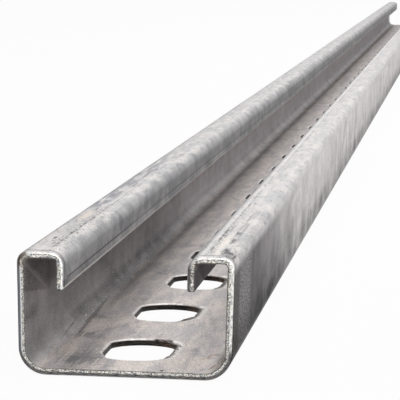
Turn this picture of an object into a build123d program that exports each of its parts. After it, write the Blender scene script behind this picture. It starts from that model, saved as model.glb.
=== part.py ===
from build123d import *
import math
import os

# A slotted strut channel, roll-formed from one strip of steel sheet.
# It lies on its slotted base with its open side up: X across, Y along the length, Z up.
# The origin is the centre of the base's underside, half way along the length.
# All sizes are in millimetres.

# Section, over the outside. The width is taken across the top, between the corners before rounding
channel_width = 41.3
channel_height = 23.5
sheet_thickness = 1.4

# The walls spring open a little after rolling, by this many degrees each
wall_lean = 1.25

# Inturned lips: the clear mouth between them, and their reach down from the top
mouth_width = 23.3
lip_depth = 7.1

# Bends, by their inside radii
base_bend_radius = 3.9
shoulder_bend_radius = 0.8
lip_bend_radius = 1.5

# Length of the stock, as it is sold
stock_length = 2000.0

# Punched slots in the base: straight sides along Y, shallow arcs at both ends
slot_width = 13.6
slot_length = 26.0
slot_end_rise = 5.6
slot_pitch = 50.0
first_slot_from_end = 25.0

os.makedirs("parts", exist_ok=True)

# Middle of the sheet, which the section follows from one lip to the other
half_sheet = sheet_thickness / 2
lip_x = mouth_width / 2 + half_sheet
base_z = half_sheet
flange_z = channel_height - half_sheet
lip_edge_z = channel_height - lip_depth
wall_top_x = channel_width / 2 - half_sheet
wall_foot_x = wall_top_x - math.tan(math.radians(wall_lean)) * (flange_z - base_z)

half_section_bends = (lip_bend_radius, shoulder_bend_radius, base_bend_radius)
bends_from_left = [radius + half_sheet for radius in half_section_bends]

# Centres of the slots along the length, as many as fit before the far end
near_end_y = -stock_length / 2
punched_length = stock_length - first_slot_from_end - slot_length / 2
slot_count = int(punched_length // slot_pitch) + 1
slot_centres = [
    (0, near_end_y + first_slot_from_end + number * slot_pitch)
    for number in range(slot_count)
]
straight_side = slot_length - 2 * slot_end_rise

with BuildPart() as channel:
    # The folded strip: lip, flange, wall, base, wall, flange, lip
    with BuildSketch(Plane.XZ) as section:
        with BuildLine() as sheet_middle:
            FilletPolyline(
                (-lip_x, lip_edge_z),
                (-lip_x, flange_z),
                (-wall_top_x, flange_z),
                (-wall_foot_x, base_z),
                (wall_foot_x, base_z),
                (wall_top_x, flange_z),
                (lip_x, flange_z),
                (lip_x, lip_edge_z),
                radius=bends_from_left + bends_from_left[::-1],
            )
        trace(line_width=sheet_thickness)
    extrude(amount=stock_length / 2, both=True)

    # One row of slots, punched through the base
    with BuildSketch(Plane.XY) as slot_row:
        with BuildSketch(mode=Mode.PRIVATE) as slot:
            with BuildLine() as slot_outline:
                left_side = Line(
                    (-slot_width / 2, -straight_side / 2),
                    (-slot_width / 2, straight_side / 2),
                )
                right_side = Line(
                    (slot_width / 2, straight_side / 2),
                    (slot_width / 2, -straight_side / 2),
                )
                SagittaArc(left_side @ 1, right_side @ 0, slot_end_rise)
                SagittaArc(right_side @ 1, left_side @ 0, slot_end_rise)
            make_face()
        with Locations(*slot_centres):
            add(slot.sketch)
    extrude(amount=sheet_thickness, mode=Mode.SUBTRACT)

channel.part.label = "channel"
export_step(channel.part, "parts/channel.step")
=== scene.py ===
import math

import bpy
from mathutils import Matrix, Vector, noise


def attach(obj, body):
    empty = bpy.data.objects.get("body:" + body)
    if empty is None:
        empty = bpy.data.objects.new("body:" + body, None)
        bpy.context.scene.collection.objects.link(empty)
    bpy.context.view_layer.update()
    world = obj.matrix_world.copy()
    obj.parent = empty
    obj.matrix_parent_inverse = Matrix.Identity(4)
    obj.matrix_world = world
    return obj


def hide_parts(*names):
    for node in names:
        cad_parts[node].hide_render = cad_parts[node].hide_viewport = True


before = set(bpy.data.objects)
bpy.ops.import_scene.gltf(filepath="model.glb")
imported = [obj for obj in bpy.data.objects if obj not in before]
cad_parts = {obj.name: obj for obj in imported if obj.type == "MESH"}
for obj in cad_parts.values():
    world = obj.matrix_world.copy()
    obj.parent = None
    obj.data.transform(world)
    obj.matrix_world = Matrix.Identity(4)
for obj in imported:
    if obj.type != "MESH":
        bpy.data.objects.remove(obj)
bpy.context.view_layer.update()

# A slotted strut channel of bare steel sheet, lying on its slotted base.
# Lengths are in millimetres until a piece is made.
MM = 0.001

# The section, as the solid has it, with the small unevenness of a real rolled strip
WIDTH = 41.3
HEIGHT = 23.5
SHEET = 1.4
LENGTH = 2000.0
MOUTH = 23.3
LEFT_LIP = 7.3
RIGHT_LIP = 6.8
LEFT_LEAN = math.radians(1.7)
RIGHT_LEAN = math.radians(0.65)
BASE_BEND = 3.9
SHOULDER_BEND = 0.8
LIP_BEND = 1.5

# The lip bends are pressed sharper on their inside than they would roll
PRESSED_INSIDE = 0.45

# The crease along the left lip: how far above the slit edge, how deep, and how wide to each side
LIP_CREASE = 1.98
CREASE_DEPTH = 0.1
CREASE_SIDE = 0.17

# How far the walls and lips wander along the strip and over what length, from what height, and fully how much higher
SWAY, SWAY_LENGTH = 0.07, 95.0
HEAVE, HEAVE_LENGTH = 0.05, 70.0
STIFF_HEIGHT, FREE_RISE = 4.0, 18.0

# The row of punched slots
SLOT_WIDTH = 13.6
SLOT_LENGTH = 26.0
SLOT_END_RISE = 5.6
PITCH = 50.0
SLOTS = 40

# How finely the base is divided: rows to a pitch, steps round a slot's end, and how much finer the nearest slots are
ROWS = 6
ARC_STEPS = 14
FINE_SLOTS = 3
FINE_STEPS = 6

# How the nearest slots differ: how far each stands off the middle, how far its right side is left standing in, how
# torn its near right corner is, and how much it narrows towards the underside
SLOT_SHIFT = (-0.25, -0.8, 0.2, 0.05, 0.8, 0.7)
SLOT_BURR = (0.35, 0.75, 0.95)
TORN_CORNER = (0.5, 1.3, 0.5)
SLOT_TAPER = (0.05, 0.05, 0.45)

# What the other slots have of the same, about
USUAL_SHIFT, USUAL_BURR, USUAL_TEAR, USUAL_TAPER = 0.3, 0.3, 0.25, 0.1

# A slot's torn corner and its rounded one, from the slot's middle, and how far round each the metal has moved
NEAR_RIGHT, TORN_REACH = Vector((6.2, -8.6)), 7.0
NEAR_LEFT, ROUNDED_REACH = Vector((-6.4, -8.0)), 3.6
ROUNDED_BY = 0.9

# On a slot's right side and at its torn corner: how jagged the cut is, how much wider its rim is, and how much less
# it is rolled. Elsewhere the rim is only a little rough.
JAGGED = 0.45
WIDER_RIM = 0.4
LESS_ROLLED = 0.7
RIM_ROUGHNESS = 0.03

# How far round a slot the finer faces reach, above and below, and where the rings between them and the border lie
RIM_REACH = 1.1
UNDER_REACH = 0.6
TOWARDS_BORDER = (0.62, 0.28)

# Through the thickness of a cut: how deep from the outer face, and how far behind the cut's plane
ROLLED_DEPTH = 0.6
ROLLED_BACK = 0.42
CUT_PROFILE = [
    (ROLLED_DEPTH * (1 - math.cos(a)), ROLLED_BACK * (1 - math.sin(a)))
    for a in (math.radians(d) for d in (0, 22, 44, 66, 90))
] + [(0.85, 0.0), (1.1, 0.0), (1.33, 0.01), (SHEET, 0.08)]

# How deep the saw's marks are
SAW_MARKS = 0.05

# From the upper face down through a slot: how far outside the punched line, how deep, how far in with the burr, and
# how much of the rolled rim, which carries a painted highlight, and of the torn metal shows there
SLOT_RIM = (
    (RIM_REACH, 0.0, 0.0, 0.0, 0.0),
    (0.66, 0.0, 0.0, 0.12, 0.0),
    (0.48, 0.02, 0.0, 0.3, 0.0),
    (0.32, 0.06, 0.0, 0.3, 0.0),
    (0.15, 0.14, 0.0, 0.6, 0.0),
    (0.04, 0.26, 0.05, 1.0, 0.25),
    (0.0, 0.34, 0.3, 0.2, 0.95),
)
# And on down the punched wall: how far outside, how deep, how far in with the burr, and how ragged
SLOT_WALL = (
    (0.0, 0.42, 1.0, 0.0),
    (0.0, 0.78, 1.0, 0.02),
    (0.05, 0.95, 0.95, 0.05),
    (0.1, SHEET - 0.03, 0.9, 0.04),
    (0.16, SHEET, 0.9, 0.02),
)

# How much of each edge shows at a point: sawn, punched, and rolled rim
PLAIN = (0.0, 0.0, 0.0)
PUNCHED = (0.0, 1.0, 0.0)
HALF_SAWN = 0.5


class Station:
    """A place on the middle of the sheet, the way out of the section there, and how far along the strip it is."""

    def __init__(self, x, z, out_x, out_z, sunk=0.0, thick=SHEET):
        self.x, self.z, self.out_x, self.out_z = x, z, out_x, out_z
        self.sunk, self.thick = sunk, thick
        self.run = 0.0

    def at(self, y, depth, past_run=0.0):
        """The point at a depth below the outer face, and past the station along the strip."""
        lift = SHEET / 2 - depth * self.thick / SHEET
        x = self.x + self.out_x * lift - self.out_z * past_run
        z = self.z + self.out_z * lift + self.out_x * past_run
        side = 1 if self.x > 0 else -1
        free = max(0.0, min(1.0, (self.z - STIFF_HEIGHT) / FREE_RISE)) ** 2
        sway = SWAY * free * noise.noise(Vector((side * 7.3, y / SWAY_LENGTH, 0.4)))
        heave = HEAVE * free * noise.noise(Vector((side * 3.1, y / HEAVE_LENGTH, 8.2)))
        return Vector((x + sway, y, z + heave))


def straight(start, end, places, sunk=None):
    """Stations on a straight stretch, at distances from its start, except where they would crowd its ends."""
    way = Vector((end.x - start.x, end.z - start.z))
    whole = way.length
    way.normalize()
    crowded = 0.05
    return [
        Station(start.x + way.x * p, start.z + way.y * p, way.y, -way.x, (sunk or {}).get(p, 0.0))
        for p in places
        if crowded < p < whole - crowded
    ]


def pressed_thickness(radius, pressed, angle):
    """The sheet's thickness part way round a square bend, where its inner corner was pressed sharper."""
    if not pressed:
        return SHEET
    inner = radius - SHEET / 2
    past = abs(angle - math.pi / 4)
    reach = inner - pressed
    off_axis = reach * math.sqrt(2) * math.sin(past)
    if off_axis < pressed:
        to_corner = reach * math.sqrt(2) * math.cos(past) + math.sqrt(pressed**2 - off_axis**2)
    else:
        to_corner = inner
    return radius + SHEET / 2 - min(to_corner, inner / math.cos(math.pi / 4 - past))


def bend(before, corner, after, radius, steps, pressed=0.0):
    """Stations round one bend of the strip, both its ends included."""
    into = (Vector(corner) - Vector(before)).normalized()
    away = (Vector(after) - Vector(corner)).normalized()
    turn = into.angle(away)
    hand = 1.0 if into.x * away.y > into.y * away.x else -1.0
    start = Vector(corner) - into * radius * math.tan(turn / 2)
    centre = start + Vector((-into.y, into.x)) * hand * radius
    stations = []
    for step in range(steps + 1):
        turned = Matrix.Rotation(hand * turn * step / steps, 2)
        place = centre + turned @ (start - centre)
        heading = turned @ into
        thick = pressed_thickness(radius, pressed, turn * step / steps)
        stations.append(Station(place.x, place.y, heading.y, -heading.x, 0.0, thick))
    return stations


def section():
    """Stations from the left lip's edge to the flat of the base, across it, and on to the right lip's edge."""
    half = SHEET / 2
    lip_x = MOUTH / 2 + half
    top = HEIGHT - half
    wall_x = WIDTH / 2 - half
    corners = [
        (-lip_x, HEIGHT - LEFT_LIP),
        (-lip_x, top),
        (-wall_x, top),
        (-wall_x + math.tan(LEFT_LEAN) * (top - half), half),
        (wall_x - math.tan(RIGHT_LEAN) * (top - half), half),
        (wall_x, top),
        (lip_x, top),
        (lip_x, HEIGHT - RIGHT_LIP),
    ]
    bends = (LIP_BEND, SHOULDER_BEND, BASE_BEND, BASE_BEND, SHOULDER_BEND, LIP_BEND)
    steps = (12, 8, 10, 10, 8, 12)
    pressed = (PRESSED_INSIDE, 0, 0, 0, 0, PRESSED_INSIDE)
    turned = [
        bend(corners[n], corners[n + 1], corners[n + 2], bends[n] + half, steps[n], pressed[n]) for n in range(6)
    ]
    by_crease = (LIP_CREASE - CREASE_SIDE, LIP_CREASE, LIP_CREASE + CREASE_SIDE)
    left = [Station(*corners[0], 1.0, 0.0)]
    left += straight(left[0], turned[0][0], (0.4, 1.0, *by_crease, 2.7, 3.6), {LIP_CREASE: CREASE_DEPTH}) + turned[0]
    left += straight(left[-1], turned[1][0], (0.3, 1.5, 2.7)) + turned[1]
    left += straight(left[-1], turned[2][0], (0.4, 3.6, 6.8, 10.0, 13.2, 15.4)) + turned[2]
    right = turned[3] + straight(turned[3][-1], turned[4][0], (0.6, 2.8, 6.0, 9.2, 12.4, 15.6)) + turned[4]
    right += straight(right[-1], turned[5][0], (1.2, 2.4, 3.6)) + turned[5]
    lip_end = Station(*corners[7], -1.0, 0.0)
    right += straight(right[-1], lip_end, (0.9, 1.9, 3.0, 3.5)) + [lip_end]
    flat = [
        Station(left[-1].x + (right[0].x - left[-1].x) * n / ARC_STEPS, half, 0.0, -1.0)
        for n in range(1, ARC_STEPS)
    ]
    whole = left + flat + right
    for before, here in zip(whole, whole[1:]):
        here.run = before.run + math.hypot(here.x - before.x, here.z - before.z)
    return left, flat, right, [(t[0].run, t[-1].run) for t in turned]


def slot_outline(fine):
    """One slot's edge, anticlockwise from its near left corner: place, and the way into the sheet."""
    half = SLOT_WIDTH / 2
    radius = (half**2 + SLOT_END_RISE**2) / (2 * SLOT_END_RISE)
    centre = SLOT_LENGTH / 2 - radius
    reach = math.asin(half / radius)
    corner = centre + radius * math.cos(reach)
    near, far = [], []
    for n in range(ARC_STEPS * fine + 1):
        a = -reach + 2 * reach * n / (ARC_STEPS * fine)
        out = Vector((math.sin(a), -math.cos(a)))
        near.append((Vector((0, -centre)) + out * radius, out))
        far.append((Vector((0, centre)) - out * radius, -out))
    side = [-corner + 2 * corner * n / (ROWS * fine) for n in range(1, ROWS * fine)]
    outline = near + [(Vector((half, y)), Vector((1, 0))) for y in side]
    outline += far + [(Vector((-half, -y)), Vector((-1, 0))) for y in side]
    return outline


class Strip:
    """The strip's mesh as it is put together: its points, where each lies on the flat strip, and its faces."""

    def __init__(self):
        self.points, self.places, self.zones, self.laid_out = [], [], [], []
        self.faces, self.on_inside = [], []

    def point(self, at, run, along, side, zone=PLAIN, laid_out=None):
        """Adds a point, with its place on the strip and where the outer face's layout has it."""
        self.points.append(at)
        self.places.append((run, along, side))
        self.zones.append(zone)
        self.laid_out.append(laid_out or (run, along))
        return len(self.points) - 1

    def face(self, corners, inside, flip=False):
        """Adds a face, on the inner or the outer side of the sheet."""
        self.faces.append(corners[::-1] if flip else corners)
        self.on_inside.append(inside)

    def skin(self, first, second, inside=False, closed=False, flip=False):
        """Faces between two rows of points."""
        count = len(first)
        for n in range(count if closed else count - 1):
            m = (n + 1) % count
            self.face((first[n], first[m], second[m], second[n]), inside, flip)

    def widen(self, coarse, fine, inside, to_fine):
        """Triangles between a ring and one with several points to each of its own."""
        each = len(fine) // len(coarse)
        half = each // 2
        for n, here in enumerate(coarse):
            there = coarse[(n + 1) % len(coarse)]
            arc = [fine[(n * each + k) % len(fine)] for k in range(each + 1)]
            self.face((here, there, arc[half]), inside, not to_fine)
            for k in range(each):
                self.face((here if k < half else there, arc[k + 1], arc[k]), inside, not to_fine)


left, flat, right, turn_runs = section()
stations = left + flat + right
whole_run = stations[-1].run
base_run = left[-1].run - left[-1].x
last_row = SLOTS * ROWS
strip = Strip()


def row_place(row):
    """Where a row of points lies along the strip."""
    return -LENGTH / 2 + row * PITCH / ROWS


def end_side(row):
    """-1 on the near sawn end, 1 on the far one, 0 between them."""
    return -1 if row == 0 else 1 if row == last_row else 0


def lip_side(column):
    """-1 on the left slit edge, 1 on the right one, 0 between them."""
    return -1 if column == 0 else 1 if column == len(stations) - 1 else 0


def edge_point(row, column, depth, behind, zone=PLAIN):
    """A point on the strip's own outline: its sawn ends and its slit lip edges."""
    station, y = stations[column], row_place(row)
    past_run, past_end = lip_side(column), end_side(row)
    wear = SAW_MARKS * noise.noise(Vector((station.run * 0.9, y * 0.01 + 3.0, depth * 1.7))) if depth > 0.1 else 0.0
    sunk = station.sunk if depth == 0 else 0.0
    at = station.at(y - past_end * (behind + abs(wear)), depth + sunk, -past_run * behind)
    laid_out = (station.run + past_run * depth, y + past_end * depth)
    return strip.point(at, station.run, y, depth / SHEET, zone, laid_out)


def sheet_faces():
    """The outer and inner grids, with the base's flat left open between the punched cells."""
    outer, inner = {}, {}
    for row in range(last_row + 1):
        y = row_place(row)
        for n, station in enumerate(stations):
            if len(left) <= n < len(left) + len(flat) and row % ROWS:
                continue
            for grid, (depth, behind) in ((outer, CUT_PROFILE[0]), (inner, CUT_PROFILE[-1])):
                if end_side(row) or lip_side(n):
                    grid[row, n] = edge_point(row, n, depth, behind)
                else:
                    sunk = station.sunk if depth == 0 else 0.0
                    grid[row, n] = strip.point(station.at(y, depth + sunk), station.run, y, depth / SHEET)
    for row in range(last_row):
        for first, count in ((0, len(left)), (len(left) + len(flat), len(right))):
            columns = range(first, first + count)
            for grid, inside in ((outer, False), (inner, True)):
                here, beyond = [grid[row, n] for n in columns], [grid[row + 1, n] for n in columns]
                strip.skin(here, beyond, inside, flip=not inside)
    return outer, inner


def sheet_edges(outer, inner):
    """The sawn ends and the slit edges, through the thickness of the sheet."""
    last = len(stations) - 1
    around = [(0, n) for n in range(last)]
    around += [(row, last) for row in range(last_row)]
    around += [(last_row, n) for n in range(last, 0, -1)]
    around += [(row, 0) for row in range(last_row, 0, -1)]
    rings = [[outer[corner] for corner in around]]
    for depth, behind in CUT_PROFILE[1:-1]:
        bare = min(1.0, 3.0 * depth / ROLLED_DEPTH)
        zones = [((1.0 if end_side(row) else HALF_SAWN) * bare, 0.0, 0.0) for row, _ in around]
        rings.append([edge_point(row, n, depth, behind, zone) for (row, n), zone in zip(around, zones)])
    rings.append([inner[corner] for corner in around])
    for first, second in zip(rings, rings[1:]):
        strip.skin(first, second, closed=True)


def of_slot(values, cell, usual):
    """A slot's own value, or for the slots beyond those named one that is near the usual."""
    return values[cell] if cell < len(values) else usual * (1.0 + 0.8 * noise.noise(Vector((cell * 1.7, usual, 5.0))))


def punched_cell(cell, outer, inner, outline):
    """One pitch of the base's flat, with its slot punched from above."""
    low, high = cell * ROWS, (cell + 1) * ROWS
    first, last = len(left) - 1, len(left) + len(flat)
    border = [(low, n) for n in range(first, last + 1)]
    border += [(row, last) for row in range(low + 1, high)]
    border += [(high, n) for n in range(last, first - 1, -1)]
    border += [(row, first) for row in range(high - 1, low, -1)]
    each = len(outline) // len(border)
    centre_y = -LENGTH / 2 + (cell + 0.5) * PITCH
    shift = of_slot(SLOT_SHIFT, cell, USUAL_SHIFT)
    burr = of_slot(SLOT_BURR, cell, USUAL_BURR)
    torn = of_slot(TORN_CORNER, cell, USUAL_TEAR)
    taper = of_slot(SLOT_TAPER, cell, USUAL_TAPER) / SHEET

    def ring(offset, depth, zone, burred=0.0, ragged=0.0, share=0.0, grid=None, coarse=False):
        """Points round the slot, some way outside its punched line and below the upper face."""
        made = []
        for n, (place, out) in enumerate(outline):
            if coarse and n % each:
                continue
            by_corner = max(0.0, 1.0 - (place - NEAR_RIGHT).length / TORN_REACH)
            rounded = ROUNDED_BY * max(0.0, 1.0 - (place - NEAR_LEFT).length / ROUNDED_REACH) * (offset < 1.0)
            left_in = burred * (burr * max(0.0, out.x) + torn * by_corner + taper * depth)
            tear = ragged * noise.noise(Vector((place.x * 0.9, place.y * 0.9 + cell * 31.0, depth * 2.0)))
            if burred:
                jag = noise.noise(Vector((place.x * 1.9, place.y * 1.9 + cell * 17.0, depth)))
                tear += JAGGED * jag * burred * (max(0.0, out.x - 0.5) + by_corner * min(1.0, torn))
            wider = 1.0 + WIDER_RIM * max(0.0, out.x) * (depth < 0.3)
            spot = place + out * (offset * wider - left_in - rounded + tear)
            rolled = 1.0 - LESS_ROLLED * min(1.0, torn * by_corner) * (depth < 0.5)
            x, y = spot.x + shift, spot.y + centre_y
            if share:
                edge = strip.points[grid[border[n // each]]]
                x, y = x + (edge.x - x) * share, y + (edge.y - y) * share
            inset = place - out * (SHEET - depth)
            laid_out = (base_run + inset.x, centre_y + inset.y) if 0.3 < depth < SHEET else None
            at = Vector((x, y, SHEET - depth * rolled))
            made.append(strip.point(at, base_run + x, y, 1 - depth / SHEET, zone, laid_out))
        return made

    def join(rings, inside):
        for one, two in zip(rings, rings[1:]):
            if len(one) == len(two):
                strip.skin(one, two, inside, closed=True)
            elif len(one) < len(two):
                strip.widen(one, two, inside, True)
            else:
                strip.widen(two, one, inside, False)

    upper = [[inner[corner] for corner in border]]
    upper += [ring(RIM_REACH, 0.0, PLAIN, share=share, grid=inner, coarse=True) for share in TOWARDS_BORDER]
    for n, (offset, depth, burred, shine, dark) in enumerate(SLOT_RIM):
        upper.append(ring(offset, depth, (0.0, dark, shine), burred, RIM_ROUGHNESS * bool(depth), coarse=n == 0))
    wall = [ring(offset, depth, PUNCHED, burred, ragged) for offset, depth, burred, ragged in SLOT_WALL]
    upper.append(wall[0])
    lower = [wall[-1], ring(UNDER_REACH, SHEET, PLAIN, coarse=True)]
    lower += [ring(RIM_REACH, SHEET, PLAIN, share=share, grid=outer, coarse=True) for share in TOWARDS_BORDER[::-1]]
    lower.append([outer[corner] for corner in border])
    join(upper, True)
    join(wall, False)
    join(lower, False)


def lay_out(mesh):
    """The strip's finish laid out flat, both faces side by side, in three lengths next to each other."""
    columns = ((0, 14), (14, 27), (27, SLOTS))
    margin, room_past = 4, 60
    face_gap = 2 * SHEET
    column_width = 2 * whole_run + 2 * face_gap + 2 * margin
    sheet_width = len(columns) * column_width
    layout = mesh.uv_layers.new(name="OFBake")
    spots = []
    for face, inside in zip(strip.faces, strip.on_inside):
        middle = sum(strip.places[p][1] for p in face) / len(face) + LENGTH / 2
        column = min(2, next(n for n, (_, end) in enumerate(columns) if middle < end * PITCH + 1e-3))
        for p in face:
            run, along = strip.laid_out[p]
            if inside:
                run, along = 2 * whole_run + face_gap - strip.places[p][0], strip.places[p][1]
            spots += [
                (column * column_width + run + margin + SHEET) / (sheet_width + margin),
                (along + LENGTH / 2 - columns[column][0] * PITCH + margin + SHEET) / (sheet_width + room_past),
            ]
    layout.uv.foreach_set("vector", spots)


def make_channel():
    """The whole channel as one piece."""
    outer, inner = sheet_faces()
    sheet_edges(outer, inner)
    plain, detailed = slot_outline(1), slot_outline(FINE_STEPS)
    for cell in range(SLOTS):
        punched_cell(cell, outer, inner, detailed if cell < FINE_SLOTS else plain)
    mesh = bpy.data.meshes.new("slotted_channel")
    mesh.from_pydata([p * MM for p in strip.points], [], strip.faces)
    mesh.update()
    for name, values in (("strip_place", strip.places), ("worked_edges", strip.zones)):
        layer = mesh.attributes.new(name, "FLOAT_VECTOR", "POINT")
        layer.data.foreach_set("vector", [float(v) for row in values for v in row])
    lay_out(mesh)
    mesh.shade_smooth()
    channel = bpy.data.objects.new("slotted_channel", mesh)
    bpy.context.scene.collection.objects.link(channel)
    even = channel.modifiers.new("even_shading", "WEIGHTED_NORMAL")
    even.mode = "FACE_AREA"
    even.weight = 60
    return channel


channel = make_channel()
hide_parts("channel")
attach(channel, "root")


# What finishes are made of


def tone(red, green, blue):
    """A colour as it is seen, 0 to 255, turned into the shader's own numbers."""
    return tuple(
        (c / 12.92 if c <= 0.04045 else ((c + 0.055) / 1.055) ** 2.4) for c in (red / 255, green / 255, blue / 255)
    ) + (1.0,)


class Shade:
    """One socket of a finish, so that sums on it are written as sums."""

    def __init__(self, finish, socket):
        self.finish, self.socket = finish, socket

    def sum(self, operation, first, second):
        return self.finish.node("ShaderNodeMath", {"operation": operation}, {0: first, 1: second})

    def __add__(self, other):
        return self.sum("ADD", self, other)

    def __radd__(self, other):
        return self.sum("ADD", other, self)

    def __sub__(self, other):
        return self.sum("SUBTRACT", self, other)

    def __rsub__(self, other):
        return self.sum("SUBTRACT", other, self)

    def __mul__(self, other):
        return self.sum("MULTIPLY", self, other)

    def __rmul__(self, other):
        return self.sum("MULTIPLY", other, self)

    def at_least(self, other):
        return self.sum("MAXIMUM", self, other)

    def at_most(self, other):
        return self.sum("MINIMUM", self, other)


class Finish:
    """A material or world made of nodes."""

    def __init__(self, owner):
        owner.use_nodes = True
        self.owner, self.tree = owner, owner.node_tree
        self.tree.nodes.clear()

    def node(self, kind, settings=None, sockets=None, output=0):
        """One node: its type, its settings, and the values or links of its sockets."""
        made = self.tree.nodes.new(kind)
        for name, value in (settings or {}).items():
            setattr(made, name, value)
        for name, value in (sockets or {}).items():
            if isinstance(value, Shade):
                self.tree.links.new(value.socket, made.inputs[name])
            else:
                made.inputs[name].default_value = value
        return Shade(self, made.outputs[output])

    def parts(self, whole, kind="ShaderNodeSeparateXYZ"):
        """The three parts of a vector or a colour."""
        split = self.node(kind, {}, {0: whole})
        return [Shade(self, out) for out in split.socket.node.outputs]

    def grain(self, place, size, detail=2.0, rough=0.5, bent=0.0):
        """Soft noise from 0 to 1."""
        sockets = {"Vector": place, "Scale": size, "Detail": detail, "Roughness": rough, "Distortion": bent}
        return self.node("ShaderNodeTexNoise", {}, sockets)

    def rise(self, value, low, high, start=0.0, end=1.0):
        """A smooth step from start to end as the value goes from low to high."""
        sockets = {"Value": value, 1: low, 2: high, 3: start, 4: end}
        return self.node("ShaderNodeMapRange", {"interpolation_type": "SMOOTHSTEP"}, sockets)

    def between(self, value, low, high, soft):
        """1 where the value lies from low to high, with soft ends."""
        return self.rise(value, low - soft, low + soft) * self.rise(value, high - soft, high + soft, 1.0, 0.0)

    def shaded(self, colour, amount):
        """A colour made lighter or darker."""
        return self.node("ShaderNodeHueSaturation", {}, {"Color": colour, "Value": amount})

    def mix(self, share, first, second):
        """The first colour, with a share of the second."""
        return self.node("ShaderNodeMix", {"data_type": "RGBA"}, {0: share, 6: first, 7: second}, output=2)

    def out(self, kind, shader):
        """Ends the finish."""
        self.tree.links.new(shader.socket, self.tree.nodes.new(kind).inputs["Surface"])


# The finish of the steel: bare rolled sheet with drawn lines, mottling and scuffs, browner inside, with bright sawn
# ends and dark punched walls, and with light and shade painted into it on many faces

steel_finish = Finish(bpy.data.materials.new("channel_steel"))
node, grain, rise = steel_finish.node, steel_finish.grain, steel_finish.rise
between, mix = steel_finish.between, steel_finish.mix

# Where a point lies: across the strip, along it, and through it from the outer face to the inner one
place = node("ShaderNodeAttribute", {"attribute_name": "strip_place"}, output="Vector")
run, along, side = steel_finish.parts(place)
worked = node("ShaderNodeAttribute", {"attribute_name": "worked_edges"}, output="Vector")
sawn, punched, rim = steel_finish.parts(worked)
from_end = along + LENGTH / 2
outside = rise(side, 0.35, 0.65, 1.0, 0.0)
inside = 1.0 - outside


def band(low, high, soft):
    """1 between two places across the strip, with soft sides."""
    return between(run, low, high, soft)


def stretch(low, high, soft):
    """1 between two distances from the near end, with soft ends."""
    return between(from_end, low, high, soft)


def fading(low, high, start=1.0, end=0.0):
    """From start to end between two distances from the near end."""
    return rise(from_end, low, high, start, end)


def spread(across, lengthwise, seed=0.0, deep=9.0, at=place):
    """A place on the strip, scaled for a pattern."""
    sockets = {"Vector": at, "Location": (0.0, 0.0, seed), "Scale": (across, lengthwise, deep)}
    return node("ShaderNodeMapping", {}, sockets)


def face_grain(across, lengthwise, seed, detail, rough=0.5, bent=0.0):
    """Soft noise that is the same on both faces of the sheet."""
    return grain(spread(across, lengthwise, seed, 0.0), 1.0, detail, rough, bent)


# Each face of the section
left_lip_bend, left_shoulder, left_foot, right_foot, right_shoulder, right_lip_bend = turn_runs
left_wall_top = left_shoulder[1]
left_flange_run = left_lip_bend[1] - MOUTH / 2 - SHEET - LIP_BEND
right_flange_run = right_lip_bend[0] + MOUTH / 2 + SHEET + LIP_BEND
walls = band(left_wall_top + 0.2, left_foot[0] + 1.5, 1.6)
walls += band(right_foot[1] - 1.5, right_shoulder[0] - 0.2, 1.6)
flanges = band(left_lip_bend[0] + 1.5, left_shoulder[1], 0.6)
flanges = (flanges + band(right_shoulder[0], right_lip_bend[1] - 1.5, 0.6)) * outside
base = band(left_foot[0] + 3.0, right_foot[1] - 3.0, 2.0)
lips = 1.0 - band(left_lip_bend[1] - 1.0, right_lip_bend[0] + 1.0, 1.2)
outer_walls = walls * outside
left_inner_wall = band(left_wall_top + 0.2, left_foot[1] - 2.2, 2.0) * inside
right_inner_wall = band(right_foot[1] - 1.5, right_shoulder[0] - 0.2, 1.6) * inside
right_lip = rise(run, right_lip_bend[1] - 0.4, right_lip_bend[1] + 0.4)

# Patterns: fine grain, mottling, stains that cross the walls, and clouds and lines drawn out along the strip
SLANT = math.radians(-37.2)
slanting = node("ShaderNodeMapping", {}, {"Vector": place, "Rotation": (0.0, 0.0, SLANT)})
speck = grain(spread(2.6, 1.5), 1.6, 2.0, 0.6)
mottle = grain(spread(0.8, 0.62), 1.0, 4.0, 0.62, 0.4)
stain = grain(spread(0.14, 0.06), 1.0, 5.0, 0.6, 0.8)
strokes = grain(spread(1.205, 0.224, at=slanting), 1.0, 4.0, 0.66, 0.6)
curtain = grain(spread(0.06, 0.06, 4.0), 1.0, 3.0, 0.55, 0.6)
grit = grain(spread(3.4, 0.75), 1.0, 2.0, 0.7)
long_grit = grain(spread(3.4, 0.3), 1.0, 2.0, 0.7)
cloud = grain(spread(0.3, 0.06), 1.0, 4.0, 0.6, 0.6)
drawn = grain(spread(2.2, 0.03), 1.0, 3.0, 0.6)

# Behind the left lip: a slanting line with painted shade above it, and the flange's diagonal shadow edge
below_shade_line = run - left_wall_top - 5.5 - 0.12 * from_end.at_most(26.0)
below_shadow_diagonal = run - left_wall_top - 0.2 - 0.327 * from_end


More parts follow.
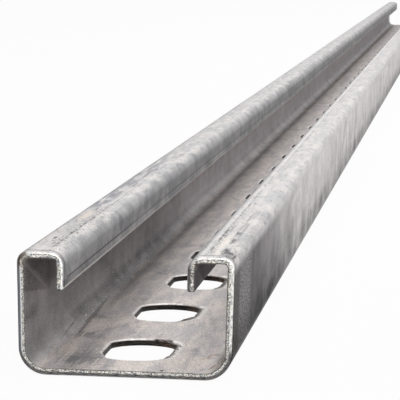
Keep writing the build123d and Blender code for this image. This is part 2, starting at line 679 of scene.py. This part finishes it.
def face_colours():
    """The steel's colour on each face before its patterns; tones differ by face as painted light and shade."""
    outer_steel = mix(rise(cloud, 0.35, 0.65), tone(190, 189, 190), tone(204, 201, 200))
    # The lips' darker tone is painted shade, for faces turned away from the light
    lip_steel = mix(rise(stain, 0.36, 0.62), tone(158, 158, 161), tone(179, 178, 179))
    inner_steel = mix(rise(cloud, 0.38, 0.62), tone(178, 173, 173), tone(194, 186, 181))
    # Painted shade on the outer walls: darkest near the cut, lighter towards the far end
    outer_wall = mix(rise(from_end, 15.0, 190.0), tone(84, 81, 84), tone(200, 196, 196))
    # Painted light and shade on the left inner wall: lighter high up, darker low down near the cut, lighter far along
    low_on_wall = mix(rise(from_end, 15.0, 42.0), tone(147, 145, 147), tone(165, 162, 164))
    high_on_wall = mix(rise(from_end, 4.0, 60.0), tone(158, 153, 155), tone(170, 162, 163))
    inner_wall = mix(rise(run, left_wall_top + 7.4, left_foot[0] - 3.0, 1.0, 0.0), low_on_wall, high_on_wall)
    outer_steel = mix(lips, outer_steel, lip_steel)
    outer_steel = mix(walls, outer_steel, outer_wall)
    inner_steel = mix(left_inner_wall, inner_steel, inner_wall)
    inner_steel = mix(right_inner_wall, inner_steel, tone(170, 164, 162))
    inner_steel = mix(right_lip, inner_steel, tone(178, 176, 184))
    return mix(inside, outer_steel, inner_steel)


def pattern_shade():
    """Lighter and darker by the patterns, each strongest where it shows on the real strip."""
    shade = 1.0 + 0.2 * (speck - 0.5) + (0.4 + left_inner_wall + 1.2 * base * inside) * (grit - 0.5)
    shade += (0.34 + 0.3 * flanges) * (mottle - 0.5)
    shade += fading(40.0, 90.0, 1.1, 0.45) * lips * outside * (strokes - 0.5)
    shade += 0.55 * base * (cloud - 0.5)
    shade += (1.2 * outer_walls + left_inner_wall + 0.35 * lips * outside) * (stain - 0.5)
    shade += (outer_walls + 0.6 * left_inner_wall) * (curtain - 0.5)
    shade += (0.2 + 0.35 * flanges) * (drawn - 0.5)
    return shade + fading(36.0, 48.0, 0.8, 0.45) * outer_walls * (long_grit - 0.5)


def wall_shade(shade):
    """Painted light and shade: outer walls darkest at the foot, left inner wall darker above a slant, paler in bands.
    """
    low_wall = band(right_foot[0] - 3.0, right_foot[1] + 3.0, 3.0) + band(left_foot[0] - 3.0, left_foot[1] + 3.0, 3.0)
    # Painted shade on the outer walls: darkest at the foot and near the cut, lighter up the wall and far along
    shade -= 0.4 * low_wall * outside
    shade -= 0.3 * outer_walls * fading(5.0, 12.0)
    up_wall = rise(run, right_foot[1], right_shoulder[0], -0.42, 0.3)
    shade += outer_walls * up_wall * rise(run, base_run - 5.0, base_run)
    shade += outer_walls * rise(run, right_foot[1], right_shoulder[0], 0.45, 0.0) * rise(from_end, 60.0, 200.0)
    # Painted shade on the left inner wall above a slanting line near the cut, and painted light in bands and far along
    shade += left_inner_wall * rise(below_shade_line, -0.25, 0.25, -0.3, 0.06) * fading(26.0, 34.0)
    painted_light_band = left_inner_wall * band(left_wall_top + 7.2, left_wall_top + 12.0, 1.2)
    shade += painted_light_band * stretch(20.0, 40.0, 6.0) * 0.3
    shade += left_inner_wall * fading(180.0, 300.0, 0.0, 0.8)
    shade += left_inner_wall * band(left_wall_top + 11.0, left_wall_top + 14.0, 1.4) * 0.14
    dark_band = left_inner_wall * band(left_wall_top + 9.4, left_wall_top + 11.6, 0.8)
    shade -= dark_band * fading(10.0, 18.0, 0.3, 0.0)
    # The right lip's inner side is painted darker near the cut and lighter further in, evening out the hook's shade
    shade += right_lip * inside * fading(0.0, 26.0, -0.5, 0.9)
    # Painted light on the shaded side of the diagonal shadow edge near the cut
    return shade + left_inner_wall * rise(below_shadow_diagonal, -0.12, 0.12, 0.16, 0.0) * fading(25.0, 27.0)


def base_shade(shade):
    """Painted shade and light on the base, darkest on the left bend past the first slot."""
    # Painted shade towards the left, where the base mirrors the dark left wall, and painted light towards the right
    shade += base * inside * rise(run, base_run - 14.0, base_run + 5.0, -0.04, 0.1)
    # Painted light by the bends and at the left corner near the cut, where the channel shades them
    by_bends = band(left_foot[1] - 1.5, left_foot[1] + 3.0, 2.0) + band(right_foot[0] - 3.0, right_foot[0] + 1.5, 2.0)
    shade += by_bends * inside * fading(50.0, 110.0, 0.4, 0.0)
    near_right_bend = band(right_foot[0] - 1.0, right_foot[0] + 4.5, 1.2) * fading(45.0, 60.0, 0.6, 0.15)
    near_left_corner = band(base_run - 18.0, base_run - 13.0, 1.5) * fading(8.0, 16.0, 0.35, 0.0)
    shade += (near_right_bend + near_left_corner) * inside
    # Painted shade on the left bend past the first slot, covering the highlight it catches
    shade -= band(left_foot[0] + 1.0, left_foot[1] + 1.0, 1.5) * inside * fading(70.0, 130.0, 0.0, 0.36)
    shade -= 0.1 * band(left_foot[1] - 2.8, left_foot[1] + 0.4, 1.0) * inside
    on_bend = band(left_foot[0] + 1.4, left_foot[0] + 4.8, 1.2) * inside
    shade -= on_bend * fading(34.0, 62.0, 0.0, 0.42) * fading(85.0, 115.0, 1.0, 0.3)
    return shade - on_bend * (grit - 0.5)


def top_shade(shade):
    """A painted highlight along the right lip's bend, and the right shoulder a little darker."""
    # Painted highlight along the right lip's bend
    shade += band(right_lip_bend[0] + 0.2, right_lip_bend[0] + 2.4, 0.5) * outside * 0.45
    by_shoulder = band(right_shoulder[0] + 0.8, right_shoulder[1] + 1.0, 0.6) * fading(70.0, 100.0)
    return shade - 0.14 * by_shoulder * outside


def sanded_walls(steel):
    """Behind the cut the outer walls are sanded to a lighter, grainy band, with a dark line across them at its end."""
    sanded = rise(from_end + 12.0 * (stain - 0.5), 30.0, 40.0, 1.0, 0.0) * rise(from_end, 8.0, 14.0) * outer_walls
    sanded *= rise(run, right_foot[1], right_foot[1] + 9.0, 0.3, 1.0)
    steel = mix(sanded * rise(long_grit, 0.38, 0.6), steel, tone(132, 129, 130))
    steel = mix(sanded * rise(grit, 0.54, 0.62) * 0.7, steel, tone(196, 192, 190))
    steel = mix(sanded * rise(grit, 0.38, 0.45, 1.0, 0.0) * 0.5, steel, tone(70, 67, 70))
    by_cut = outer_walls * fading(8.0, 14.0) * rise(grit, 0.54, 0.62)
    steel = mix(by_cut * 0.4, steel, tone(152, 143, 134))
    cross_line = between(from_end + 5.0 * (stain - 0.5), 38.0, 41.5, 1.6) * outer_walls
    return mix(cross_line * 0.2, steel, tone(58, 55, 58))


def left_band(low, high, soft):
    """A band along the left flange, between two distances from the channel's middle."""
    return band(left_flange_run + low, left_flange_run + high, soft)


def right_band(low, high, soft):
    """The same along the right flange."""
    return band(right_flange_run - high, right_flange_run - low, soft)


def curved_lines(size, stretched, thin, seed):
    """Fine curved scratches: where soft noise passes through its middle."""
    lines = face_grain(size, size * stretched, seed, 2.0, 0.5, 0.8)
    off_middle = node("ShaderNodeMath", {"operation": "ABSOLUTE"}, {0: lines - 0.5})
    return rise(off_middle, 0.0, thin, 1.0, 0.0)


def mark(at_run, at_end, half_width, half_length, ragged=2.4, slant=0.0):
    """A patch of the given size at one place on the strip, with an uneven edge."""
    across = (run - at_run - slant * (from_end - at_end)) * (1.0 / half_width)
    lengthwise = (from_end - at_end) * (1.0 / half_length)
    off_centre = node("ShaderNodeCombineXYZ", {}, {0: across, 1: lengthwise, 2: 0.0})
    reach = node("ShaderNodeVectorMath", {"operation": "LENGTH"}, {0: off_centre}, output="Value")
    return rise(reach + ragged * (mottle + drawn - 1.0), 0.6, 1.2, 1.0, 0.0)


def left_mark(off_middle, *patch):
    """A mark on the left flange, at a distance from the channel's middle."""
    return mark(left_flange_run + off_middle, *patch)


def right_mark(off_middle, *patch):
    """A mark on the right flange, at a distance from the channel's middle."""
    return mark(right_flange_run - off_middle, *patch)


def base_mark(off_middle, *patch):
    """A mark on the base, at a distance to the right of its middle."""
    return mark(base_run + off_middle, *patch)


scuffed = rise(face_grain(0.7, 0.14, 17.0, 5.0, 0.7), 0.56, 0.66)
scratches = curved_lines(0.55, 0.2, 0.018, 5.0) * rise(mottle, 0.44, 0.56)


def worn_flanges(steel):
    """Pale worn patches, dark scuffs and curved scratches."""
    worn = rise(face_grain(0.34, 0.07, 31.0, 4.0, 0.62), 0.47, 0.6)
    steel = mix(worn * flanges * 0.5, steel, tone(226, 221, 217))
    steel = mix(scuffed * flanges * 0.6, steel, tone(140, 136, 139))
    crowded = fading(40.0, 100.0, 0.75, 0.4)
    return mix(scratches * (flanges * crowded + base * inside * 0.4), steel, tone(84, 79, 80))


def roll_marks():
    """The broken dark line that the rolls left beside each lip bend, with flecks, dashes and cracks next to it."""
    line_start, line_end, soft = 14.8, 15.15, 0.16
    broken = rise(face_grain(1.2, 0.3, 3.0, 3.0, 0.7), 0.45, 0.56)
    wander = 0.5 * (face_grain(0.0, 0.09, 7.0, 3.0) - 0.5)
    left_line = between(run + wander, left_flange_run + line_start, left_flange_run + line_end, soft)
    right_line = between(run + wander, right_flange_run - line_end, right_flange_run - line_start, soft)
    flecks = rise(face_grain(1.5, 0.34, 23.0, 3.0, 0.7), 0.56, 0.63) * fading(50.0, 95.0)
    dashes = right_band(14.7, 15.9, 0.2) * fading(44.0, 60.0)
    dashes *= curved_lines(1.5, 0.3, 0.05, 91.0)
    left_flecks = left_band(13.8, 16.2, 0.5) * flecks
    right_flecks = right_band(14.6, 16.2, 0.4) * flecks * 0.5
    cracks = curved_lines(1.15, 0.3, 0.03, 9.0) * rise(mottle, 0.4, 0.5) * fading(50.0, 90.0)
    cracks *= left_band(14.0, 18.0, 0.8)
    marks = (left_line + right_line) * broken * fading(60.0, 180.0, 1.0, 0.3)
    marks = marks + left_flecks + right_flecks + dashes + 0.75 * cracks
    return marks * outside * rise(from_end, 4.0, 9.0)


roll_marked = roll_marks()


def spotted_flanges(steel):
    """What marks the flanges one by one: dark spots, a patch like a ladder, a bluish band and cream patches."""
    steel = mix(roll_marked * 0.85, steel, tone(58, 54, 55))
    pale_line = left_band(15.2, 15.4, 0.12) * stretch(84.0, 108.0, 3.0)
    steel = mix(pale_line * 0.7, steel, tone(236, 234, 232))
    spots = 1.4 * left_mark(16.9, 21.5, 0.3, 2.0, 0.4) + 0.7 * left_mark(17.6, 14.0, 0.12, 5.0, 0.5)
    spots += 0.9 * left_mark(16.7, 75.0, 0.2, 3.0, 1.2)
    spots += 0.8 * left_mark(17.5, 92.0, 0.22, 3.4, 1.2)
    spots += 0.5 * left_mark(15.9, 130.0, 0.3, 4.0)
    spots += 0.5 * left_mark(16.4, 152.0, 0.35, 5.0)
    spots += 0.6 * left_mark(16.0, 171.0, 0.35, 4.0)
    hatched = rise(face_grain(4.4, 0.2, 27.0, 2.0, 0.6), 0.4, 0.56)
    cluster = 1.4 * right_mark(17.9, 8.0, 0.75, 5.0, 1.0) + 1.2 * right_mark(19.0, 4.0, 0.9, 4.0, 1.0)
    cluster += 1.1 * right_mark(17.8, 24.0, 0.55, 5.0, 1.0)
    rails = right_band(18.25, 18.4, 0.08)
    rails += right_band(17.25, 17.4, 0.08)
    rungs = right_band(17.3, 18.3, 0.1)
    rungs *= rise(face_grain(0.1, 0.36, 33.0, 1.0), 0.54, 0.62)
    ladder = (0.6 * rails + 0.6 * rungs) * stretch(30.0, 52.0, 3.0)
    spots += cluster * (0.35 + 0.75 * hatched)
    spots += ladder
    spots += 0.4 * right_mark(17.4, 66.0, 0.3, 8.0, 4.0)
    steel = mix((spots * outside * 0.8).at_most(0.95), steel, tone(66, 62, 67))
    bluish = rise(face_grain(0.8, 0.07, 37.0, 3.0, 0.6), 0.42, 0.56) * rise(from_end, 70.0, 85.0)
    bluish = bluish * left_band(16.2, 18.8, 0.7) * fading(170.0, 240.0, 1.0, 0.3)
    steel = mix(bluish * outside * 0.7, steel, tone(118, 120, 132))
    cream = right_mark(16.4, 22.0, 1.0, 13.0, 3.0) + 0.7 * right_mark(16.8, 6.0, 1.0, 4.0)
    steel = mix(cream * outside * 0.55, steel, tone(240, 230, 220))
    return mix(left_mark(17.2, 63.0, 0.8, 7.0) * outside * 0.6, steel, tone(224, 210, 196))


def creased_lip(steel):
    """The left lip's crease in painted shadow, a painted highlight on its slit edge, two dark strokes on its bend."""
    crease = band(LIP_CREASE - 0.14, LIP_CREASE + 0.14, 0.1) * outside * rise(from_end, 3.0, 6.0)
    crease *= fading(70.0, 110.0, 1.0, 0.35)
    below_crease = rise(run, LIP_CREASE - 0.4, LIP_CREASE, 1.0, 0.0) * outside
    shade = 1.0 + below_crease * (fading(10.0, 50.0, -0.32, 0.06) + 0.6 * (stain - 0.5))
    steel = steel_finish.shaded(steel, shade)
    # Painted highlight along the slit edge below the crease
    slit_edge_highlight = rise(run, 0.45, 0.8, 1.0, 0.0) * outside * fading(60.0, 120.0, 0.9, 0.6)
    steel = mix(slit_edge_highlight * rise(mottle, 0.34, 0.5, 0.6, 1.0), steel, tone(244, 238, 234))
    # Painted shadow in the crease
    steel = mix(crease * 0.8, steel, tone(62, 58, 58))
    at_bend = left_lip_bend[0] - 0.2
    stroke = 0.5 * mark(at_bend, 77.0, 2.1, 3.2, 0.5) + 0.35 * mark(at_bend, 119.0, 1.5, 5.0, 1.2)
    return mix(stroke * outside, steel, tone(98, 98, 106))


def marked_base(steel):
    """Blue-grey blotches, dark streaks by the left bend, specks, a nick at the cut, a touch of rust, and dust."""
    # The largest blotches, at the near left of the base, are partly painted shade where the base mirrors the dark left
    # wall
    blotches = 0.7 * base_mark(-9.2, 14.0, 4.2, 10.5, 3.4) + 0.6 * base_mark(-9.0, 13.0, 2.6, 7.0, 3.0)
    blotches += base_mark(-11.6, 10.0, 1.3, 4.0, 1.5)
    blotches += base_mark(-12.2, 40.0, 2.6, 4.5, 2.4, -0.3)
    blotches += base_mark(-14.6, 65.5, 2.4, 3.4, 2.4, -0.3)
    blotches += 0.6 * base_mark(-10.4, 48.0, 0.8, 12.0, 3.0, 0.42)
    blotches += 0.5 * base_mark(9.8, 66.0, 0.7, 14.0, 2.4, -0.16)
    blotches += rise(face_grain(0.22, 0.06, 43.0, 4.0, 0.6), 0.58, 0.7) * base
    steel = mix((blotches * inside * 0.48).at_most(0.8), steel, tone(112, 111, 117))
    streaks = base_mark(-16.1, 68.0, 0.6, 27.0, 1.6, -0.027) + base_mark(-18.1, 44.0, 0.14, 15.0, 0.6, -0.05)
    streaks += base_mark(-18.2, 47.0, 0.24, 2.2, 0.6)
    by_slot = base_mark(-2.6, 41.4, 0.08, 2.4, 0.2, -0.22) + base_mark(-0.7, 42.6, 0.09, 3.2, 0.2, -0.27)
    streaks += 0.7 * by_slot
    steel = mix((streaks * inside).at_most(1.0) * 0.62, steel, tone(78, 74, 76))
    light_specks = base_mark(-12.6, 48.4, 0.16, 0.8, 0.3) + base_mark(-11.0, 44.7, 0.2, 0.9, 0.3)
    light_specks += base_mark(-17.5, 62.6, 0.2, 1.0, 0.3)
    light_specks += base_mark(-13.4, 65.0, 0.16, 0.8, 0.3)
    steel = mix(light_specks * inside * 0.7, steel, tone(226, 214, 198))
    # Painted highlight: a thin light line along the diagonal shadow edge on the left inner wall
    highlight_line = between(below_shadow_diagonal, -0.08, 0.08, 0.08) * left_inner_wall * stretch(0.8, 26.0, 0.6)
    steel = mix(highlight_line * 0.35, steel, tone(214, 206, 196))
    steel = mix(base_mark(7.0, 1.4, 0.4, 0.9, 0.2) * inside, steel, tone(44, 41, 42))
    # A near-white patch on the right bend just behind the cut
    bright_bend_patch = base_mark(16.6, 3.1, 1.1, 2.4, 0.4, 0.45) * inside
    steel = mix(bright_bend_patch * 0.8, steel, tone(250, 243, 236))
    rust = 0.6 * base_mark(13.9, 16.5, 0.55, 1.5, 0.6, 1.3) + 0.6 * base_mark(14.2, 19.4, 0.4, 2.4, 0.6, 0.14)
    rust += 0.6 * base_mark(15.3, 21.5, 0.9, 0.7, 0.6)
    rust += 1.2 * base_mark(16.2, 6.6, 0.28, 2.7, 0.4, 0.235)
    steel = mix((rust * inside * rise(mottle, 0.34, 0.5, 0.3, 1.0)).at_most(0.9), steel, tone(172, 132, 92))
    dust = rise(face_grain(1.7, 0.62, 61.0, 1.0), 0.7, 0.77) * inside
    return mix(dust * 0.6, steel, tone(232, 226, 212))


# The sawn ends: a smooth rolled-over edge on the outside, and torn metal behind it with partly painted glints
cut_place = spread(1.0, 1.0, 0.0, SHEET)
uneven = grain(spread(1.1, 0.0, 9.0, 4.0), 1.0, 3.0)
facets = node("ShaderNodeTexVoronoi", {}, {"Vector": cut_place, "Scale": 4.2}, output="Color")
grey, blue, yellow = steel_finish.parts(facets, "ShaderNodeSeparateColor")
on_base = band(left_foot[0] + 2.0, right_foot[1] - 2.0, 2.0)
on_right_side = band(right_foot[1] - 1.0, right_lip_bend[0] + 1.0, 1.0)
on_tops = band(right_shoulder[0] + 0.6, right_lip_bend[0], 1.0)
on_tops += 0.5 * band(left_lip_bend[0] - 4.0, left_shoulder[0], 1.0)
torn = rise(side + 0.34 * (uneven - 0.5) - 0.1 * on_base - 0.06 * on_right_side + 0.14 * on_tops, 0.38, 0.5)
# Bright grains of the torn metal: partly their own grain, partly painted glints
bright = rise(0.25 * grey + 0.85 * grain(cut_place, 4.4, 3.0, 0.75), 0.4, 0.72)
is_cut = rise(sawn, 0.55, 0.95)


def sawn_ends(steel):
    """Torn grains with painted glints, the rolled edge painted lit or shaded, and a painted shadow line behind it."""
    cut = mix(bright, tone(66, 65, 68), tone(236, 234, 228))
    cut = mix(rise(blue, 0.7, 0.9) * 0.3, cut, tone(120, 150, 180))
    cut = mix(rise(yellow, 0.75, 0.95) * 0.25, cut, tone(206, 192, 150))
    # Painted shadow along the inner edge of the cut
    cut = mix(rise(side, 0.8, 0.93) * 0.8, cut, tone(56, 51, 48))
    # Painted light and shade on the rolled edge: dark on the sides facing away from the light, bright on those facing
    # it
    edge_facing_away = band(left_shoulder[0] + 1.3, right_foot[1] + 0.6, 1.2)
    edge_facing_away += rise(run, right_lip_bend[0] + 1.5, right_lip_bend[1])
    lit_roll = mix(rise(uneven, 0.34, 0.56), tone(168, 169, 172), tone(236, 236, 234))
    shaded_roll = mix(rise(mottle, 0.4, 0.62), tone(62, 63, 67), tone(126, 122, 120))
    on_left_side = band(left_wall_top + 0.5, left_foot[0] + 1.0, 1.0)
    shaded_roll = mix(on_left_side, shaded_roll, tone(112, 116, 124))
    cut = mix(torn, mix(edge_facing_away, lit_roll, shaded_roll), cut)
    # Painted highlight: a bright line through the middle of the cut on the left wall
    cut = mix(on_left_side * between(side, 0.42, 0.56, 0.07) * 0.75, cut, tone(238, 240, 242))
    corner_rust = band(left_shoulder[0] + 0.4, left_wall_top + 0.8, 0.4) * rise(mottle, 0.42, 0.52)
    cut = mix(corner_rust * fading(2.0, 4.0) * 0.8, cut, tone(92, 76, 60))
    # Painted shadow: a dark line round the outside just behind the cut
    shadow_behind_cut = stretch(0.6, 1.7, 0.3) * outside
    steel = mix(shadow_behind_cut * 0.6, steel, tone(58, 54, 54))
    return mix(is_cut, steel, cut)


def slot_edges(steel):
    """Punched walls, dark and torn, under a rim with painted highlights, a torn far corner and a chewed right side."""
    to_middle = {0: along + PITCH / 2, 1: PITCH / 2, 2: -PITCH / 2}
    from_middle = node("ShaderNodeMath", {"operation": "WRAP"}, to_middle)
    # The punched walls' dark is partly the torn metal's own, partly painted shade down in the hole
    torn_wall = mix(rise(mottle, 0.42, 0.64), tone(20, 19, 20), tone(62, 55, 51))
    browned = rise(run, base_run + 1.0, base_run + 4.0) * rise(mottle, 0.4, 0.6)
    torn_wall = mix(browned * 0.6, torn_wall, tone(112, 88, 70))
    ledge = mix(rise(grit, 0.4, 0.58), tone(72, 66, 63), tone(156, 147, 142))
    corner = band(base_run + 0.9, base_run + 5.0, 0.5) * rise(from_middle, 6.0, 8.5) * rise(mottle, 0.38, 0.46)
    corner *= fading(45.0, 55.0, 1.0, 0.4)
    jagged = rise(run, base_run + 4.2, base_run + 5.2) * rise(from_middle, 6.0, 9.0, 1.0, 0.0)
    jagged *= fading(45.0, 55.0, 1.0, 0.3)
    # Painted highlights and glints along the rolled rim, strongest at its far and near edges and on its right side
    glint = rise(face_grain(0.5, 0.2, 77.0, 3.0, 0.6), 0.45, 0.6)
    far_edge = rise(from_middle, 8.0, 10.5) * band(base_run - 4.4, base_run + 0.8, 1.0)
    near_edge = rise(from_middle, -11.0, -9.0, 1.0, 0.0)
    right_edge = rise(run, base_run + 3.6, base_run + 5.4)
    lit_rim = 0.12 + 0.25 * glint + 0.2 * far_edge + 0.5 * far_edge * glint + 0.85 * right_edge + 0.5 * near_edge
    chewed = right_edge * fading(45.0, 55.0, 3.6, 1.0)
    steel = mix((rim * (1.4 + chewed)).at_most(1.0) * lit_rim.at_most(0.95), steel, tone(244, 241, 237))
    nicks = jagged * rise(grit, 0.42, 0.48, 1.0, 0.0)
    dark_rim = (rim * (2.5 + chewed)).at_most(1.0) * (corner + 0.85 * nicks).at_most(1.0)
    steel = mix(dark_rim, steel, tone(46, 38, 35))
    return mix(punched, steel, mix(right_edge * rise(side, 0.6, 0.68), torn_wall, ledge))


def finish_steel(steel):
    """Metal with a duller film over it, raised and sunk by its finest patterns."""
    rough = 0.5 + 0.16 * walls + 0.1 * lips + 0.12 * (mottle - 0.5)
    rough += 0.08 * scuffed * flanges
    rough -= 0.12 * rim
    rough -= 0.12 * is_cut
    metal = 0.95 - 0.2 * scuffed * flanges - 0.3 * roll_marked - 0.25 * punched
    height = 0.35 * speck + 0.5 * mottle + 0.25 * drawn - 1.2 * roll_marked - 0.6 * scratches
    height += is_cut * torn * 3.0 * bright
    height += 2.5 * punched * mottle
    bump = node("ShaderNodeBump", {}, {"Strength": 0.5, "Distance": 0.04 * MM, "Height": height})
    both = {"Base Color": steel, "Normal": bump}
    bare = node("ShaderNodeBsdfPrincipled", {}, {**both, "Metallic": metal, "Roughness": rough})
    dulled = {"Metallic": 0.0, "Roughness": 0.85, "Specular IOR Level": 0.2}
    dull = node("ShaderNodeBsdfPrincipled", {}, {**both, **dulled})
    film = 0.2 + 0.65 * outer_walls + 0.45 * left_inner_wall + 0.15 * lips + 0.3 * punched
    shader = node("ShaderNodeMixShader", {}, {0: film - 0.1 * is_cut, 1: bare, 2: dull})
    steel_finish.out("ShaderNodeOutputMaterial", shader)


steel = steel_finish.shaded(face_colours(), top_shade(base_shade(wall_shade(pattern_shade()))))
for add_marks in (sanded_walls, worn_flanges, spotted_flanges, creased_lip, marked_base, sawn_ends, slot_edges):
    steel = add_marks(steel)
finish_steel(steel)
channel.data.materials.append(steel_finish.owner)


# Floor, light and camera


def seen_directly(finish):
    """1 for rays that show a thing itself: straight to the camera, mirrored or through glass."""
    path = finish.node("ShaderNodeLightPath").socket.node.outputs
    camera, glossy, through = (
        Shade(finish, path[name]) for name in ("Is Camera Ray", "Is Glossy Ray", "Is Transmission Ray")
    )
    return camera.at_least(glossy).at_least(through)


def flat_card(name, corners):
    """One flat face, which stands in the studio and is no part of the object."""
    mesh = bpy.data.meshes.new(name)
    mesh.from_pydata(corners, [], [(0, 1, 2, 3)])
    card = bpy.data.objects.new(name, mesh)
    bpy.context.scene.collection.objects.link(card)
    return card


def pale_floor():
    """White paper just under the channel, which shows as plain white and keeps the shadow."""
    half, under = 30.0, -0.0003
    floor = flat_card("pale_floor", [(x * half, y * half, under) for x, y in ((-1, -1), (1, -1), (1, 1), (-1, 1))])
    finish = Finish(bpy.data.materials.new("white_paper"))
    paper = finish.node("ShaderNodeBsdfDiffuse", {}, {"Color": (0.8, 0.8, 0.8, 1.0)})
    glow = finish.node("ShaderNodeEmission", {}, {"Color": (1.0, 1.0, 1.0, 1.0), "Strength": 1.0})
    whiteness = 0.96
    both = finish.node("ShaderNodeMixShader", {}, {0: seen_directly(finish) * whiteness, 1: paper, 2: glow})
    finish.out("ShaderNodeOutputMaterial", both)
    floor.data.materials.append(finish.owner)


def side_flag(name, x):
    """A dark upright card beside the channel, as a studio uses to give metal its darker sides."""
    near, far, top = -2.2, 3.0, 0.45
    flag = flat_card(name, [(x, near, 0.0), (x, far, 0.0), (x, far, top), (x, near, top)])
    flag.visible_camera = False
    finish = Finish(bpy.data.materials.new("black_card"))
    card = finish.node("ShaderNodeBsdfDiffuse", {}, {"Color": (0.02, 0.02, 0.02, 1.0)})
    finish.out("ShaderNodeOutputMaterial", card)
    flag.data.materials.append(finish.owner)


def room_light():
    """An even pale room, which shows as plain white."""
    world = bpy.data.worlds.new("pale_room")
    bpy.context.scene.world = world
    finish = Finish(world)
    light, seen_white = 0.48, 1.0
    strength = finish.rise(seen_directly(finish), 0.0, 1.0, light, seen_white)
    sky = finish.node("ShaderNodeBackground", {}, {"Color": (1.0, 1.0, 1.0, 1.0), "Strength": strength})
    finish.out("ShaderNodeOutputWorld", sky)


def hang(name, lamp, place, target):
    """Hangs a lamp at a place, turned towards its target. Both are in metres."""
    hung = bpy.data.objects.new(name, lamp)
    hung.location = place
    hung.rotation_euler = (Vector(target) - Vector(place)).to_track_quat("-Z", "Y").to_euler()
    bpy.context.scene.collection.objects.link(hung)


def soft_lamp(name, place, target, width, height, power):
    """A lamp with a flat, rectangular face."""
    lamp = bpy.data.lights.new(name, "AREA")
    lamp.shape, lamp.size, lamp.size_y, lamp.energy = "RECTANGLE", width, height, power
    hang(name, lamp, place, target)


def snooted_spot(name, place, target, cone, size, power):
    """A warm spot lamp narrowed to a small cone, in degrees."""
    lamp = bpy.data.lights.new(name, "SPOT")
    lamp.spot_size, lamp.spot_blend = math.radians(cone), 1.0
    lamp.shadow_soft_size, lamp.energy = size, power
    lamp.color = (1.0, 0.93, 0.82)
    hang(name, lamp, place, target)


def photo_camera():
    """The camera, solved from the photograph: where it stands and how it is turned."""
    eye = Vector((63.45, -1459.86, 82.48)) * MM
    down, aside, roll = -5.98, 6.16, 1.04
    film_width, picture_width, focal_length = 36.0, 400, 2502.7
    camera = bpy.data.cameras.new("camera")
    camera.sensor_width = film_width
    camera.lens = film_width * focal_length / picture_width
    camera.clip_start, camera.clip_end = 0.01, 100.0
    stand = bpy.data.objects.new("camera", camera)
    stand.location = eye
    turn = (
        Matrix.Rotation(math.radians(aside), 3, "Z")
        @ Matrix.Rotation(math.radians(90 + down), 3, "X")
        @ Matrix.Rotation(math.radians(roll), 3, "Z")
    )
    stand.rotation_euler = turn.to_euler()
    bpy.context.scene.collection.objects.link(stand)
    bpy.context.scene.camera = stand


pale_floor()
side_flag("left_flag", x=-0.3)
room_light()
soft_lamp("overhead_softbox", (0.3, 0.3, 1.7), (0.0, -0.3, 0.0), width=2.6, height=2.0, power=20.0)
soft_lamp("front_lamp", (0.534, -3.47, 0.875), (0.0, -1.0, 0.01), width=0.04, height=0.04, power=18.0)
snooted_spot("corner_spot", (0.597, -3.4, 0.796), (-0.019, -0.985, 0.012), cone=3.0, size=0.015, power=75.0)
photo_camera()
bpy.context.scene.view_settings.view_transform = "Standard"
